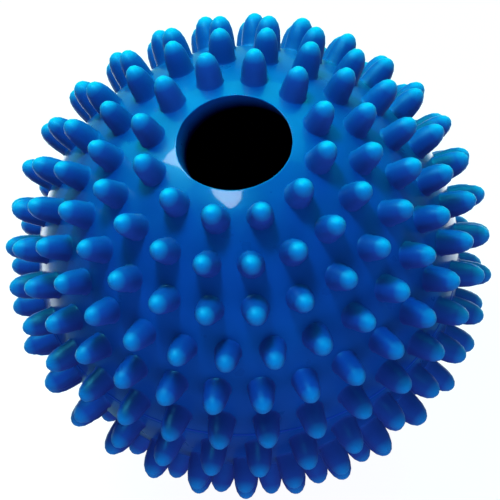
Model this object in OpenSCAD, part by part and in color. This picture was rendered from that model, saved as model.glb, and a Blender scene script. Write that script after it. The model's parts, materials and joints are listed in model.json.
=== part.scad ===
// Hand massage ball: a hollow soft-vinyl ball covered in rows of round-ended nubs,
// with one round hole at the top pole.
//
// The ball stands on the six nub tips of its base ring. The origin is on the plane of
// those tips, straight below the hole, and +Z runs up the hole's axis.

/* [Shell] */
// Outer diameter of the shell, measured between the nubs
shell_d = 77.4; // [70:0.2:100]
// Thickness of the shell wall
wall = 4; // [2:0.5:6]
// Diameter of the hole at the top pole
hole_d = 21; // [12:1:25]

/* [Nubs] */
// Height of a nub above the shell
nub_h = 6.3; // [5:0.1:10]
// Diameter of a nub at its foot
nub_foot_d = 4.9; // [4.5:0.1:5.6]
// Diameter of a nub where its side starts to round in
nub_waist_d = 4.3; // [3.8:0.1:4.5]
// Diameter of the dome on a nub's tip
nub_tip_d = 3.4; // [2.8:0.1:3.6]

/* [Nub rows] */
// Distance between the feet of neighbouring nubs in a row, as near as a whole number allows
nub_spacing = 8; // [7.4:0.1:9]
// Angle between one row and the next, in degrees
row_pitch = 12; // [11:0.25:12]
// Angle between the seam and the first row on each side, in degrees
seam_to_row = 6.5; // [5.5:0.5:7]

/* [Seam] */
// Width of the weld bead where the two half shells meet
bead_w = 0.8; // [0.4:0.1:1.2]
// Height of the weld bead above the shell
bead_h = 0.25; // [0.1:0.05:0.4]

/* [Moulding mark] */
// Diameter of the gate mark under the ball
gate_d = 3; // [2:0.5:5]
// Depth of the gate mark
gate_depth = 0.4; // [0.2:0.1:0.8]

/* [Hidden] */

shell_r = shell_d / 2;
core_r = shell_r - wall;
hole_r = hole_d / 2;
ball_r = shell_r + nub_h;

// Rows count up from 1 beside the pole to rows_a_side beside the seam.
// Row 0 is the ring closest to the pole, which only the closed lower half has.
rows_a_side = 6;
function polar_angle(row) = 90 - seam_to_row - (rows_a_side - row) * row_pitch;
function row_length(row) = 2 * PI * shell_r * sin(polar_angle(row));
function nubs_in_row(row) = round(row_length(row) / nub_spacing);

// Angle round the ball at which each row starts, from row 1 to row 6
upper_start = [11, 10.5, 8, 10.5, 8, 5];
lower_start = [4, 10, 5.5, 11.5, 1, 2];
base_start = 0;

// A nub's foot is a flat disc whose rim lies on the shell, so its middle is a hair below it.
foot_r = nub_foot_d / 2;
foot_sink = shell_r - sqrt(pow(shell_r, 2) - pow(foot_r, 2));
waist_r = nub_waist_d / 2;
waist_h = 0.6 * nub_h;
tip_r = nub_tip_d / 2;
tip_centre_h = nub_h - tip_r;

// The dome takes over from the side this far above the middle of its own sphere.
shoulder_angle = 22;
shoulder_h = tip_centre_h + tip_r * sin(shoulder_angle);
shoulder_r = tip_r * cos(shoulder_angle);

// Height of the ball's centre when its base ring stands on the ground
centre_h = (ball_r - tip_r) * cos(polar_angle(0)) + tip_r;

// The bead's foot is a straight band whose edges lie on the shell, and its top is a third as wide.
bead_foot_r = sqrt(pow(shell_r, 2) - pow(bead_w / 2, 2));
bead_top_w = bead_w / 3;

shell_blue = [0.05, 0.30, 0.66];
nub_blue = [0.07, 0.34, 0.70];

$fn = 120;
nub_facets = 24;

// Draws its children about the centre of the ball.
module at_ball_centre() {
  translate([0, 0, centre_h])
    children();
}

module hollow_sphere() {
  difference() {
    sphere(r = shell_r);
    sphere(r = core_r);
  }
}

// Half space above the seam, as a block larger than the ball
module above_seam() {
  translate([-ball_r, -ball_r, 0])
    cube([2 * ball_r, 2 * ball_r, ball_r]);
}

// The upper half, with the hole straight through its pole
module upper_shell() {
  color(shell_blue)
    at_ball_centre()
      difference() {
        intersection() {
          hollow_sphere();
          above_seam();
        }
        cylinder(r = hole_r, h = ball_r);
      }
}

// The lower half, closed, with the shallow round mark that the moulding gate leaves at its pole
module lower_shell() {
  color(shell_blue)
    at_ball_centre()
      rotate([180, 0, 0])
        difference() {
          intersection() {
            hollow_sphere();
            above_seam();
          }
          translate([0, 0, shell_r - gate_depth])
            cylinder(d = gate_d, h = wall);
        }
}

// Low ridge of vinyl squeezed out all round where the halves are welded
module weld_bead() {
  color(shell_blue)
    at_ball_centre()
      rotate_extrude()
        polygon([
          [bead_foot_r, -bead_w / 2],
          [shell_r + bead_h, -bead_top_w / 2],
          [shell_r + bead_h, bead_top_w / 2],
          [bead_foot_r, bead_w / 2]
        ]);
}

// One nub standing on the shell's surface, with its axis along +Z
module nub() {
  rotate_extrude($fn = nub_facets) {
    polygon([
      [0, -foot_sink],
      [foot_r, -foot_sink],
      [waist_r, waist_h],
      [shoulder_r, shoulder_h],
      [0, shoulder_h]
    ]);
    intersection() {
      translate([0, tip_centre_h])
        circle(r = tip_r);
      translate([0, shoulder_h])
        square(tip_r);
    }
  }
}

// A ring of evenly spaced nubs, pointing straight out at an angle from the upper pole
module nub_ring(count, angle, start) {
  color(nub_blue)
    at_ball_centre()
      for (i = [0 : count - 1])
        rotate([0, angle, start + 360 * i / count])
          translate([0, 0, shell_r])
            nub();
}

module upper_nub_row(row) {
  nub_ring(nubs_in_row(row), polar_angle(row), upper_start[row - 1]);
}

module lower_nub_row(row) {
  nub_ring(nubs_in_row(row), 180 - polar_angle(row), lower_start[row - 1]);
}

// The ring closest to the lower pole, on whose tips the ball stands
module base_nub_ring() {
  nub_ring(nubs_in_row(0), 180 - polar_angle(0), base_start);
}

upper_shell();
lower_shell();
weld_bead();
upper_nub_row(1);  // upper_nub_row_1
upper_nub_row(2);  // upper_nub_row_2
upper_nub_row(3);  // upper_nub_row_3
upper_nub_row(4);  // upper_nub_row_4
upper_nub_row(5);  // upper_nub_row_5
upper_nub_row(6);  // upper_nub_row_6
lower_nub_row(6);  // lower_nub_row_6
lower_nub_row(5);  // lower_nub_row_5
lower_nub_row(4);  // lower_nub_row_4
lower_nub_row(3);  // lower_nub_row_3
lower_nub_row(2);  // lower_nub_row_2
lower_nub_row(1);  // lower_nub_row_1
base_nub_ring();
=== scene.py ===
import json
import math

import bmesh
import bpy
from mathutils import Matrix, Vector, noise


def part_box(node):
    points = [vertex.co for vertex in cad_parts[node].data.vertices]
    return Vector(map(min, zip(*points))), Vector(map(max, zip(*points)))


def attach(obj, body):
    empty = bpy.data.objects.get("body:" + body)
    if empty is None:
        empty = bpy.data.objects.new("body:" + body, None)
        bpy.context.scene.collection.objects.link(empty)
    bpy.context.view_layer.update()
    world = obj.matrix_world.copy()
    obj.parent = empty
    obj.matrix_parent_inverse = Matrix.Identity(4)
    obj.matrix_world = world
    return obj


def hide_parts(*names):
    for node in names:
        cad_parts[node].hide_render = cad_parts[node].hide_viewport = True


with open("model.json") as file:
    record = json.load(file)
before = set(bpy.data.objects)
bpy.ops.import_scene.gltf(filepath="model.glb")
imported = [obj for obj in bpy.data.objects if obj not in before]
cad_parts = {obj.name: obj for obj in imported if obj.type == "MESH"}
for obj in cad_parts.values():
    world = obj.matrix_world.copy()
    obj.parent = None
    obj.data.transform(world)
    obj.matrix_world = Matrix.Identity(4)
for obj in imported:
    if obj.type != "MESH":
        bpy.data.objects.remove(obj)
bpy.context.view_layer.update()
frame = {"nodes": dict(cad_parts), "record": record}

# ---------------------------------------------------------------------------
# Upper half shell
# A dome of soft vinyl with a 4 mm wall, moulded in one with its nubs and glossy
# where the polished mould left it. The hole at its pole is cut out afterwards, so
# its wall leans a little to one side and its edge isn't quite even. The hole's wall
# and the inside are painted near black, darker inwards, as painted shade in the
# hollow, and their gloss is taken away there.
# ---------------------------------------------------------------------------
MM = 0.001
seam_low, seam_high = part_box("weld_bead")
ball_centre = Vector((0, 0, (seam_low.z + seam_high.z) / 2))
shell_low, shell_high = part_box("upper_shell")
shell_r = (shell_high.x - shell_low.x) / 2
hole = next(m for m in frame["record"]["mounts"] if m["name"] == "hole")
hole_r = hole["dims"]["r_mm"] * MM
wall_top = hole["pos_m"][2] - ball_centre.z + hole["dims"]["length_mm"] * MM / 2
wall_foot = wall_top - hole["dims"]["length_mm"] * MM
core_r = math.hypot(hole_r, wall_foot)

around_shell = 192
seam_edge_r = 0.15 * MM
rim_edge_r = 0.14 * MM
hole_lean = 1.5 * MM
lean_fade = 9 * MM
cut_wobble = 0.10 * MM
cut_inside = 0.60 * MM
cut_reach = 3 * MM
skin_wander = 0.03 * MM
# Between these reaches from the centre the hole's wall and inner skin are painted darker: painted
# shade in the hollow.
inside_shade_from_r = shell_r - 1.0 * MM
inside_shade_to_r = core_r + 0.3 * MM


def arc(centre, radius, start, end, steps):
    """Points (r, z) on an arc. Angles are in degrees, from straight up towards the outside."""
    angles = [math.radians(start + (end - start) * i / steps) for i in range(steps + 1)]
    return [(centre[0] + radius * math.sin(a), centre[1] + radius * math.cos(a)) for a in angles]


def revolve(name, section, around):
    """A closed solid turned about Z from its section, a closed outline of (r, z) or (r, z, aside)
    points. A ring with an aside is moved that far along +X, and a point on the axis is a pole."""
    mesh = bmesh.new()
    rings = []
    for r, z, *aside in section:
        shift = aside[0] if aside else 0
        turns = [2 * math.pi * i / around for i in range(around if r > 0 else 1)]
        rings.append([mesh.verts.new((shift + r * math.cos(a), r * math.sin(a), z)) for a in turns])
    for one, two in zip(rings, rings[1:] + rings[:1]):
        if len(one) + len(two) == 2:
            continue
        for i in range(around):
            j = i + 1
            corners = [one[i % len(one)], one[j % len(one)], two[j % len(two)], two[i % len(two)]]
            mesh.faces.new(list(dict.fromkeys(corners)))
    bmesh.ops.recalc_face_normals(mesh, faces=mesh.faces)
    data = bpy.data.meshes.new(name)
    mesh.to_mesh(data)
    mesh.free()
    return data


def holed_section():
    """The cut face of the upper half, with its seam at z = 0 and the hole's wall leaning aside."""
    edge_turn = math.degrees(rim_edge_r / shell_r)
    outer_end = math.degrees(math.asin((hole_r + rim_edge_r) / shell_r))
    inner_end = math.degrees(math.asin((hole_r + rim_edge_r) / core_r))
    section = [(shell_r - seam_edge_r, 0)]
    section += arc((0, 0), shell_r, 90 - edge_turn / 2, outer_end + 0.4, 44)
    section += arc((0, 0), shell_r, outer_end + 0.2, outer_end, 1)
    top_z = math.sqrt(shell_r ** 2 - (hole_r + rim_edge_r) ** 2) - rim_edge_r
    foot_z = math.sqrt(core_r ** 2 - (hole_r + rim_edge_r) ** 2) + rim_edge_r
    section += arc((hole_r + rim_edge_r, top_z), rim_edge_r, -15, -90, 5)
    for i in range(1, 8):
        section.append((hole_r, top_z + (foot_z - top_z) * i / 8, hole_lean * i / 8))
    foot_edge = arc((hole_r + rim_edge_r, foot_z), rim_edge_r, -90, -165, 4)
    section += [(r, z, hole_lean) for r, z in foot_edge]
    for r, z in arc((0, 0), core_r, inner_end, 90, 36):
        section.append((r, z, hole_lean * max(0, 1 - (r - hole_r) / lean_fade)))
    return section


def let_skin_wander(data):
    """Sinks the outside by a few hundredths of a millimetre in places, as cooling vinyl does."""
    for v in data.vertices:
        wave = 0.7 * noise.noise(v.co / (14 * MM)) + 0.3 * noise.noise(v.co / (5 * MM))
        outside = max(0, (v.co.length - core_r) / (shell_r - core_r))
        v.co -= v.co.normalized() * (wave + 1) / 2 * skin_wander * outside


def cut_unevenly(data):
    """Moves the hole's edge in and out by a tenth of a millimetre, as a hand-held cutter leaves it,
    and further in at the front, where the cutter ran inside its line."""
    for v in data.vertices:
        radial = Vector((v.co.x, v.co.y, 0))
        near = 1 - min(1, abs(radial.length - hole_r) / cut_reach)
        if v.co.z > wall_foot - MM and near > 0:
            wobble = noise.noise(radial / (2.4 * MM)) * cut_wobble
            v.co += radial.normalized() * wobble * near
            v.co.y += max(0, -radial.y / hole_r) ** 2 * cut_inside * near


def ranged(nodes, from_low, from_high, to_low, to_high):
    """A node that turns one range of values into another, and stops at its ends."""
    node = nodes.new("ShaderNodeMapRange")
    ends = {"From Min": from_low, "From Max": from_high, "To Min": to_low, "To Max": to_high}
    for end, value in ends.items():
        node.inputs[end].default_value = value
    return node


def vinyl(name, deep, light, dull, gloss, coat, sheen, grain):
    """Dyed soft vinyl: two shades that drift into each other under a skin that is glossier or
    duller in patches, with a fine grain and a slow swell. Returns the material and its parts."""
    material = bpy.data.materials.new(name)
    material.use_nodes = True
    nodes = material.node_tree.nodes
    link = material.node_tree.links.new
    nodes.clear()

    place_on_ball = nodes.new("ShaderNodeTexCoord")
    centred = nodes.new("ShaderNodeMapping")
    centred.inputs["Location"].default_value = -ball_centre
    link(place_on_ball.outputs["Object"], centred.inputs["Vector"])

    def clouds(scale, detail):
        texture = nodes.new("ShaderNodeTexNoise")
        texture.inputs["Scale"].default_value = scale
        texture.inputs["Detail"].default_value = detail
        link(centred.outputs["Vector"], texture.inputs["Vector"])
        return texture.outputs["Fac"]

    shade = nodes.new("ShaderNodeValToRGB")
    shade.color_ramp.elements[0].position = 0.32
    shade.color_ramp.elements[0].color = (*deep, 1)
    shade.color_ramp.elements[1].position = 0.68
    shade.color_ramp.elements[1].color = (*light, 1)
    link(clouds(70, 3), shade.inputs["Fac"])

    sheen_patches = ranged(nodes, 0, 1, dull - 0.07, dull + 0.07)
    link(clouds(220, 4), sheen_patches.inputs["Value"])

    fine_grain = nodes.new("ShaderNodeBump")
    fine_grain.inputs["Strength"].default_value = grain
    fine_grain.inputs["Distance"].default_value = 0.02 * MM
    link(clouds(1500, 2), fine_grain.inputs["Height"])
    slow_swell = nodes.new("ShaderNodeBump")
    slow_swell.inputs["Strength"].default_value = 0.4
    slow_swell.inputs["Distance"].default_value = 0.1 * MM
    link(clouds(160, 1), slow_swell.inputs["Height"])
    link(fine_grain.outputs["Normal"], slow_swell.inputs["Normal"])

    shader = nodes.new("ShaderNodeBsdfPrincipled")
    shader.inputs["IOR"].default_value = 1.5
    shader.inputs["Specular IOR Level"].default_value = gloss
    shader.inputs["Specular Tint"].default_value = (0.0, 0.80, 1.0, 1)
    shader.inputs["Sheen Weight"].default_value = sheen
    shader.inputs["Sheen Roughness"].default_value = 0.4
    shader.inputs["Sheen Tint"].default_value = (0.0, 0.85, 1.0, 1)
    shader.inputs["Coat Weight"].default_value = coat
    shader.inputs["Coat Roughness"].default_value = 0.05
    shader.inputs["Coat IOR"].default_value = 1.45
    link(shade.outputs["Color"], shader.inputs["Base Color"])
    link(sheen_patches.outputs["Result"], shader.inputs["Roughness"])
    link(slow_swell.outputs["Normal"], shader.inputs["Normal"])
    surface = nodes.new("ShaderNodeOutputMaterial")
    link(shader.outputs["BSDF"], surface.inputs["Surface"])
    return material, {"centred": centred, "shade": shade, "shader": shader}


def paint_light_by_reach(material, parts, start, end, colour, most, dulled=()):
    """Mixes in a painted shade or painted highlight colour from one distance from the ball's centre
    to another, and takes the named kinds of gloss away by the same amount."""
    nodes = material.node_tree.nodes
    link = material.node_tree.links.new
    reach = nodes.new("ShaderNodeVectorMath")
    reach.operation = "LENGTH"
    link(parts["centred"].outputs["Vector"], reach.inputs[0])
    amount = ranged(nodes, start, end, 0, most)
    link(reach.outputs["Value"], amount.inputs["Value"])
    mixed = nodes.new("ShaderNodeMixRGB")
    mixed.inputs["Color2"].default_value = (*colour, 1)
    link(amount.outputs["Result"], mixed.inputs["Fac"])
    link(parts["shade"].outputs["Color"], mixed.inputs["Color1"])
    link(mixed.outputs["Color"], parts["shader"].inputs["Base Color"])
    for gloss_name in dulled:
        gloss = parts["shader"].inputs[gloss_name]
        fall = ranged(nodes, 0, 1, gloss.default_value, 0)
        link(amount.outputs["Result"], fall.inputs["Value"])
        link(fall.outputs["Result"], gloss)


def fix_to_ball(name, data, material, node):
    """Makes the finished piece of a mesh built about the ball's centre, in place of a CAD node."""
    data.transform(Matrix.Translation(ball_centre))
    data.materials.clear()
    data.materials.append(material)
    data.shade_smooth()
    data.set_sharp_from_angle(angle=math.radians(50))
    piece = bpy.data.objects.new(name, data)
    bpy.context.scene.collection.objects.link(piece)
    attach(piece, "root")
    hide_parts(node)
    return piece


shell_deep = (0.0100, 0.077, 0.188)
shell_light = (0.0120, 0.102, 0.238)
# The colour of the painted shade in the hollow.
painted_inside_shade = (0.0005, 0.002, 0.012)
shell_vinyl, shell_parts = vinyl(
    "glossy_shell_vinyl", shell_deep, shell_light,
    dull=0.30, gloss=0.35, coat=0.35, sheen=0.0, grain=0.5,
)
# The hole's wall and the inner skin are painted near black, darker inwards, with their gloss taken
# away: painted shade in the hollow.
paint_light_by_reach(
    shell_vinyl, shell_parts, inside_shade_from_r, inside_shade_to_r, painted_inside_shade, 1,
    dulled=("Specular IOR Level", "Coat Weight"),
)
upper_data = revolve("upper_half_shell", holed_section(), around_shell)
let_skin_wander(upper_data)
cut_unevenly(upper_data)
fix_to_ball("upper_half_shell", upper_data, shell_vinyl, "upper_shell")

# ---------------------------------------------------------------------------
# Lower half shell
# The same dome without the hole, of the same vinyl. The gate that it was filled
# through leaves a shallow round mark at its pole, under the ball.
# ---------------------------------------------------------------------------
gate_r = 1.5 * MM
gate_depth = 0.4 * MM
gate_edge_r = 0.15 * MM


def closed_section():
    """The cut face of the closed half, with its seam at z = 0 and its pole up."""
    outer_end = math.degrees((gate_r + gate_edge_r) / shell_r)
    gate_floor = shell_r - gate_depth
    section = [(shell_r - seam_edge_r, 0)]
    section += arc((0, 0), shell_r, 90 - math.degrees(seam_edge_r / shell_r), outer_end, 56)
    section += arc((gate_r + gate_edge_r, shell_r - 1.4 * gate_edge_r), gate_edge_r, -30, -90, 3)
    section += [(gate_r - gate_edge_r / 2, gate_floor), (gate_r / 2, gate_floor)]
    section += [(0, gate_floor), (0, core_r)]
    section += arc((0, 0), core_r, 2, 90, 44)
    return section


lower_data = revolve("lower_half_shell", closed_section(), around_shell)
lower_data.transform(Matrix.Rotation(math.pi, 4, "X"))
let_skin_wander(lower_data)
fix_to_ball("lower_half_shell", lower_data, shell_vinyl, "lower_shell")

# ---------------------------------------------------------------------------
# Weld bead
# Where the halves are welded, vinyl is squeezed out into a low ridge. Its
# height and width wander, and it is a little darker and duller than the skin.
# ---------------------------------------------------------------------------
bead_half_w = (seam_high.z - seam_low.z) / 2
bead_h = seam_high.x - shell_r
around_bead = 480
bead_sink = 0.12 * MM
least_squeeze = 0.15
weld_deep = (0.0110, 0.062, 0.210)
weld_light = (0.0130, 0.085, 0.270)

bead_section = [(shell_r - bead_sink, -bead_half_w)]
for a in (math.radians(degrees) for degrees in (-72, -36, 0, 36, 72)):
    bead_section.append((shell_r + bead_h * math.cos(a), bead_half_w * math.sin(a)))
bead_section += [(shell_r - bead_sink, bead_half_w)]
bead_data = revolve("weld_bead", bead_section, around_bead)
for v in bead_data.vertices:
    radial = Vector((v.co.x, v.co.y, 0))
    squeeze = 0.34 + 0.24 * noise.noise(radial / (3 * MM)) + 0.08 * noise.noise(radial / (0.9 * MM))
    proud = max(0, radial.length - shell_r)
    v.co -= radial.normalized() * proud * (1 - min(1, max(least_squeeze, squeeze)))
    v.co.z *= min(1, 0.7 + 0.3 * squeeze)
weld_vinyl, _ = vinyl(
    "weld_vinyl", weld_deep, weld_light,
    dull=0.38, gloss=0.3, coat=0.0, sheen=0.05, grain=0.5,
)
fix_to_ball("weld_seam", bead_data, weld_vinyl, "weld_bead")

# ---------------------------------------------------------------------------
# Rows of nubs
# Solid round-ended fingers of the same vinyl, moulded in one with the shell and
# blended into it by a small fillet. They are duller than the shell, and their tips
# are painted paler towards the end, a painted highlight. A tree of nodes stands one
# on each foot of a row and lets it lean a little.
# ---------------------------------------------------------------------------
ball_r = max((v.co - ball_centre).length for v in frame["nodes"]["lower_nub_row_6"].data.vertices)
nub_h = ball_r - shell_r
around_nub = 14
tip_slack = 0.004 * MM
# Where the nub tips are painted paler: a painted highlight.
tip_highlight_from_r = ball_r - 2.0 * MM
tip_highlight_to_r = ball_r - 0.1 * MM
most_tip_highlight = 0.72
first_seed = 7
nub_deep = (0.0400, 0.070, 0.195)
nub_light = (0.0430, 0.092, 0.240)
# The colour of the painted highlight on the tips.
painted_tip_highlight = (0.003, 0.46, 0.47)
nub_outline = [
    (2.66 * MM, -0.20 * MM),
    (2.50 * MM, 0.08 * MM),
    (2.42 * MM, 0.36 * MM),
    (2.34 * MM, 2.00 * MM),
    (2.15 * MM, 3.60 * MM),
    (1.74 * MM, 4.95 * MM),
    (1.10 * MM, nub_h - 0.44 * MM),
    (0.46 * MM, nub_h - 0.07 * MM),
]


def nub_blank():
    """One nub as a closed solid. Its foot is at the origin and sinks a little into the shell."""
    data = revolve("nub_blank", nub_outline + [(0, nub_h), (0, nub_outline[0][1])], around_nub)
    blank = bpy.data.objects.new("nub_blank", data)
    bpy.context.scene.collection.objects.link(blank)
    return blank


def row_planter(blank, material):
    """The tree of nodes that stands a nub on every point of a row, pointing outwards."""
    tree = bpy.data.node_groups.new("row_of_nubs", "GeometryNodeTree")
    nodes = tree.nodes
    link = tree.links.new
    tree.interface.new_socket("Feet", in_out="INPUT", socket_type="NodeSocketGeometry")
    tree.interface.new_socket("Row", in_out="OUTPUT", socket_type="NodeSocketGeometry")
    for label, value in (("Lean", 0.03), ("Least Height", 0.97), ("Girth Spread", 0.03)):
        socket = tree.interface.new_socket(label, in_out="INPUT", socket_type="NodeSocketFloat")
        socket.default_value = value
    seed_socket = tree.interface.new_socket("Seed", in_out="INPUT", socket_type="NodeSocketInt")
    seed_socket.default_value = 1
    given = nodes.new("NodeGroupInput")
    result = nodes.new("NodeGroupOutput")

    where = nodes.new("GeometryNodeInputPosition")
    outward = nodes.new("FunctionNodeAlignRotationToVector")
    outward.axis = "Z"
    link(where.outputs["Position"], outward.inputs["Vector"])

    def maths(operation, *terms):
        node = nodes.new("ShaderNodeMath")
        node.operation = operation
        for i, term in enumerate(terms):
            if isinstance(term, (int, float)):
                node.inputs[i].default_value = term
            else:
                link(term, node.inputs[i])
        return node.outputs[0]

    def random_vector(low, high, seed_step):
        node = nodes.new("FunctionNodeRandomValue")
        node.data_type = "FLOAT_VECTOR"
        for end, parts in (("Min", low), ("Max", high)):
            corner = nodes.new("ShaderNodeCombineXYZ")
            for axis, part in zip("XYZ", parts):
                if isinstance(part, (int, float)):
                    corner.inputs[axis].default_value = part
                else:
                    link(part, corner.inputs[axis])
            ends = (s for s in node.inputs if s.name == end and s.type == "VECTOR")
            link(corner.outputs[0], next(ends))
        seed_input = next(s for s in node.inputs if s.name == "Seed")
        link(maths("ADD", given.outputs["Seed"], seed_step), seed_input)
        return next(s for s in node.outputs if s.type == "VECTOR")

    lean = given.outputs["Lean"]
    lean_back = maths("MULTIPLY", lean, -1)
    tilt = random_vector((lean_back, lean_back, 0), (lean, lean, 2 * math.pi), 10)
    leaning = nodes.new("FunctionNodeRotateRotation")
    leaning.rotation_space = "LOCAL"
    link(outward.outputs["Rotation"], leaning.inputs["Rotation"])
    link(tilt, leaning.inputs["Rotate By"])

    wide = maths("ADD", 1, given.outputs["Girth Spread"])
    slim = maths("SUBTRACT", 1, given.outputs["Girth Spread"])
    size = random_vector((slim, slim, given.outputs["Least Height"]), (wide, wide, 1), 20)

    pattern = nodes.new("GeometryNodeObjectInfo")
    pattern.inputs["Object"].default_value = blank
    plant = nodes.new("GeometryNodeInstanceOnPoints")
    link(given.outputs["Feet"], plant.inputs["Points"])
    link(pattern.outputs["Geometry"], plant.inputs["Instance"])
    link(leaning.outputs["Rotation"], plant.inputs["Rotation"])
    link(size, plant.inputs["Scale"])
    solid = nodes.new("GeometryNodeRealizeInstances")
    link(plant.outputs["Instances"], solid.inputs["Geometry"])
    dye = nodes.new("GeometryNodeSetMaterial")
    dye.inputs["Material"].default_value = material
    link(solid.outputs["Geometry"], dye.inputs["Geometry"])
    link(dye.outputs["Geometry"], result.inputs["Row"])
    return tree


def feet_of(row):
    """Where the nubs of a CAD row stand: under each one's highest point, on the shell."""
    tips = set()
    for v in frame["nodes"][row].data.vertices:
        arm = v.co - ball_centre
        if arm.length > ball_r - tip_slack:
            tips.add(tuple(round(part, 5) for part in arm.normalized() * shell_r))
    return sorted(tips)


def plant_row(row, tree, seed):
    """Runs the tree on a row's feet and keeps the plain mesh that it makes."""
    points = bpy.data.meshes.new(row + "_feet")
    points.from_pydata(feet_of(row), [], [])
    bed = bpy.data.objects.new(row + "_feet", points)
    bpy.context.scene.collection.objects.link(bed)
    planter = bed.modifiers.new("row_of_nubs", "NODES")
    planter.node_group = tree
    sockets = {s.name: s.identifier for s in tree.interface.items_tree if s.in_out == "INPUT"}
    planter[sockets["Seed"]] = seed
    graph = bpy.context.evaluated_depsgraph_get()
    data = bpy.data.meshes.new_from_object(bed.evaluated_get(graph), depsgraph=graph)
    bed.modifiers.clear()
    bpy.data.objects.remove(bed)
    return data


nub_vinyl, nub_parts = vinyl(
    "satin_nub_vinyl", nub_deep, nub_light,
    dull=0.44, gloss=0.50, coat=0.0, sheen=0.0, grain=0.9,
)
# The nub tips are painted paler towards their ends: a painted highlight.
paint_light_by_reach(nub_vinyl, nub_parts, tip_highlight_from_r, tip_highlight_to_r, painted_tip_highlight, most_tip_highlight)
blank = nub_blank()
planter_tree = row_planter(blank, nub_vinyl)
rows = sorted(name for name in frame["nodes"] if "nub" in name)
for number, row in enumerate(rows):
    row_data = plant_row(row, planter_tree, first_seed + number)
    fix_to_ball(row.replace("_row_", "s_"), row_data, nub_vinyl, row)
bpy.data.objects.remove(blank)

# ---------------------------------------------------------------------------
# Studio
# A pale floor, soft lamps behind blue-green and blue gels, and two white panels for
# the crisp reflections beside the hole. Each lamp gives either light or reflections,
# not both. The air is blue above and violet below, and one blue in reflections. The
# floor glows: an even white to the camera, and in the ball's reflections a glow that
# is brightest near the ball and dimmed in front of it, a painted reflection. It gives
# no diffuse light.
# ---------------------------------------------------------------------------
floor_half = 2.0
floor_grey = 0.10
floor_white = 0.96
bright_to_r = 84 * MM
dim_from_r = 100 * MM
near_glow = 2.0
far_glow = 0.08
flag_from_y = 0.0
flag_to_y = 28 * MM
flagged_glow = 0.01
lamp_distance = 0.8
aim_height = 36 * MM
aqua = (0.02, 0.94, 0.76)
azure = (0.0, 0.34, 1.0)
sky = (0.02, 0.5, 0.9)
cobalt = (0.04, 0.42, 1.0)
white = (1, 1, 1)
air_glow = 0.72
air_up = (0.0, 0.55, 0.835)
air_low = (0.52, 0.17, 0.98)
air_high = (0.0, 0.26, 0.68)
air_mirrored = (0.02, 0.19, 0.75)
air_seen = (0.96, 0.97, 0.98)

floor_data = bpy.data.meshes.new("floor")
corner_signs = [(-1, -1), (1, -1), (1, 1), (-1, 1)]
floor_corners = [(x * floor_half, y * floor_half, 0) for x, y in corner_signs]
floor_data.from_pydata(floor_corners, [], [(0, 1, 2, 3)])
floor = bpy.data.objects.new("floor", floor_data)
bpy.context.scene.collection.objects.link(floor)
floor_paint = bpy.data.materials.new("floor_paint")
floor_paint.use_nodes = True
paint_nodes = floor_paint.node_tree.nodes
paint_link = floor_paint.node_tree.links.new
floor_shader = paint_nodes["Principled BSDF"]
floor_shader.inputs["Base Color"].default_value = (floor_grey, floor_grey, floor_grey, 1)
floor_shader.inputs["Emission Color"].default_value = (*white, 1)
floor_place = paint_nodes.new("ShaderNodeTexCoord")
floor_reach = paint_nodes.new("ShaderNodeVectorMath")
floor_reach.operation = "LENGTH"
paint_link(floor_place.outputs["Object"], floor_reach.inputs[0])
# The floor's glow that shows only in the ball's reflections: brightest near the ball, faint far
# off, a painted reflection.
floor_reflection_glow = ranged(paint_nodes, bright_to_r, dim_from_r, near_glow, far_glow)
paint_link(floor_reach.outputs["Value"], floor_reflection_glow.inputs["Value"])
floor_split = paint_nodes.new("ShaderNodeSeparateXYZ")
paint_link(floor_place.outputs["Object"], floor_split.inputs["Vector"])
floor_flag = ranged(paint_nodes, flag_from_y, flag_to_y, flagged_glow, 1)
paint_link(floor_split.outputs["Y"], floor_flag.inputs["Value"])
floor_dimmed = paint_nodes.new("ShaderNodeMath")
floor_dimmed.operation = "MULTIPLY"
paint_link(floor_reflection_glow.outputs["Result"], floor_dimmed.inputs[0])
paint_link(floor_flag.outputs["Result"], floor_dimmed.inputs[1])
floor_seen_by = paint_nodes.new("ShaderNodeLightPath")
floor_glow = ranged(paint_nodes, 0, 1, 0, floor_white)
paint_link(floor_seen_by.outputs["Is Camera Ray"], floor_glow.inputs["Value"])
paint_link(floor_dimmed.outputs["Value"], floor_glow.inputs["To Min"])
paint_link(floor_glow.outputs["Result"], floor_shader.inputs["Emission Strength"])
floor_data.materials.append(floor_paint)
floor.visible_diffuse = False


def panel(name, middle, along, across, watts, colour):
    """A rectangular area light. Middle and sides are in metres, from a point inside the hole."""
    lamp = bpy.data.lights.new(name, "AREA")
    lamp.shape = "RECTANGLE"
    lamp.size = along.length
    lamp.size_y = across.length
    lamp.energy = watts
    lamp.color = colour
    side = along.normalized()
    away = side.cross(across).normalized()
    if away.dot(middle) < 0:
        away = -away
    holder = bpy.data.objects.new(name, lamp)
    turn = Matrix((side, away.cross(side), away)).transposed()
    aim = ball_centre + Vector((0, 0, aim_height))
    holder.matrix_world = Matrix.Translation(aim + middle) @ turn.to_4x4()
    bpy.context.scene.collection.objects.link(holder)
    return holder


def softbox(name, towards, width, height, watts, gel):
    """A wide box behind a coloured gel, facing the ball."""
    away = Vector(towards).normalized()
    side = Vector((0, 0, 1)).cross(away).normalized()
    up = away.cross(side)
    return panel(name, away * lamp_distance, side * width, up * height, watts, gel)


def corner_panel(name, corner, one, two, reach, watts):
    """A white panel with a corner and two edges in given directions, for a crisp reflection."""
    corner, one, two = (Vector(d).normalized() * lamp_distance for d in (corner, one, two))
    along, across = (one - corner) * reach, (two - corner) * reach
    lamp = panel(name, corner + (along + across) / 2, along, across, watts, white)
    lamp.visible_diffuse = False


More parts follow.
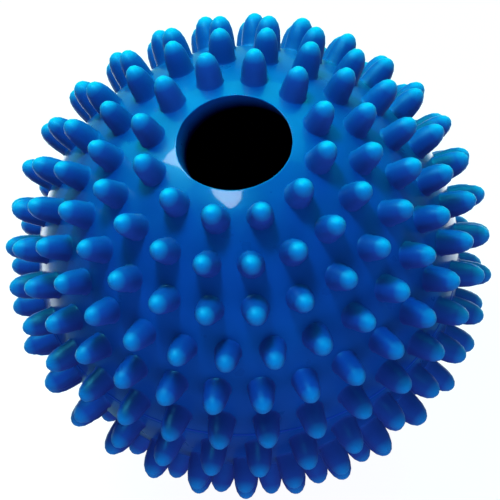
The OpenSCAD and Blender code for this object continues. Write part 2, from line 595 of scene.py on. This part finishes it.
softbox("back_key", (0.02, 0.86, 0.51), 0.90, 0.60, 15, aqua).visible_glossy = False
softbox("top_key", (-0.10, 0.32, 0.94), 0.16, 0.16, 8.5, azure).visible_glossy = False
softbox("back_dome", (-0.12, 0.72, 0.69), 1.30, 1.00, 12, aqua).visible_diffuse = False
softbox("right_fill", (0.95, 0.25, 0.22), 0.70, 0.70, 1.5, sky).visible_glossy = False
softbox("low_front", (0.0, -1.0, 0.10), 1.10, 0.36, 5.2, cobalt).visible_glossy = False
corner_panel(
    "left_panel", (-0.569, 0.496, 0.655), (-0.422, 0.619, 0.662), (-0.413, 0.316, 0.854),
    reach=1.2, watts=3.0,
)
corner_panel(
    "front_panel", (-0.086, -0.066, 0.994), (-0.207, 0.078, 0.975), (0.009, 0.044, 0.999),
    reach=1.3, watts=2.0,
)

surroundings = bpy.data.worlds.new("surroundings")
surroundings.use_nodes = True
air = surroundings.node_tree.nodes
air_link = surroundings.node_tree.links.new
backdrop = air["Background"]
backdrop.inputs["Strength"].default_value = air_glow
where = air.new("ShaderNodeTexCoord")
height = air.new("ShaderNodeVectorMath")
height.operation = "DOT_PRODUCT"
height.inputs[1].default_value = air_up
air_link(where.outputs["Generated"], height.inputs[0])
climb = ranged(air, -1, 1, 0, 1)
air_link(height.outputs["Value"], climb.inputs["Value"])
tint = air.new("ShaderNodeValToRGB")
tint.color_ramp.elements[0].position = 0.35
tint.color_ramp.elements[0].color = (*air_low, 1)
tint.color_ramp.elements[1].position = 0.75
tint.color_ramp.elements[1].color = (*air_high, 1)
air_link(climb.outputs["Result"], tint.inputs["Fac"])
seen_by = air.new("ShaderNodeLightPath")
mirrored = air.new("ShaderNodeMixRGB")
mirrored.inputs["Color2"].default_value = (*air_mirrored, 1)
air_link(seen_by.outputs["Is Glossy Ray"], mirrored.inputs["Fac"])
air_link(tint.outputs["Color"], mirrored.inputs["Color1"])
air_link(mirrored.outputs["Color"], backdrop.inputs["Color"])
pale = air.new("ShaderNodeBackground")
pale.inputs["Color"].default_value = (*air_seen, 1)
either = air.new("ShaderNodeMixShader")
air_link(seen_by.outputs["Is Camera Ray"], either.inputs["Fac"])
air_link(backdrop.outputs["Background"], either.inputs[1])
air_link(pale.outputs["Background"], either.inputs[2])
air_link(either.outputs["Shader"], air["World Output"].inputs["Surface"])
bpy.context.scene.world = surroundings
bpy.context.scene.view_settings.view_transform = "Standard"

# ---------------------------------------------------------------------------
# Camera
# A long lens, high in front of the ball, rolled so that the hole's axis leans a
# little to the left.
# ---------------------------------------------------------------------------
camera_elevation = math.radians(56.9)
camera_roll = math.radians(-7.38)
camera_distance = 1.304
frame_width = 0.0922
aim_aside = 0.20 * MM
aim_above = 1.0 * MM
camera_data = bpy.data.cameras.new("camera")
camera_data.sensor_width = 36
camera_data.lens = camera_data.sensor_width * camera_distance / frame_width
camera_data.clip_end = 20
camera = bpy.data.objects.new("camera", camera_data)
bpy.context.scene.collection.objects.link(camera)
tilt_down = Matrix.Rotation(math.pi / 2 - camera_elevation, 4, "X")
turn = tilt_down @ Matrix.Rotation(camera_roll, 4, "Z")
aim_offset = turn @ Vector((aim_aside, aim_above, camera_distance))
camera.matrix_world = Matrix.Translation(ball_centre + aim_offset) @ turn
bpy.context.scene.camera = camera
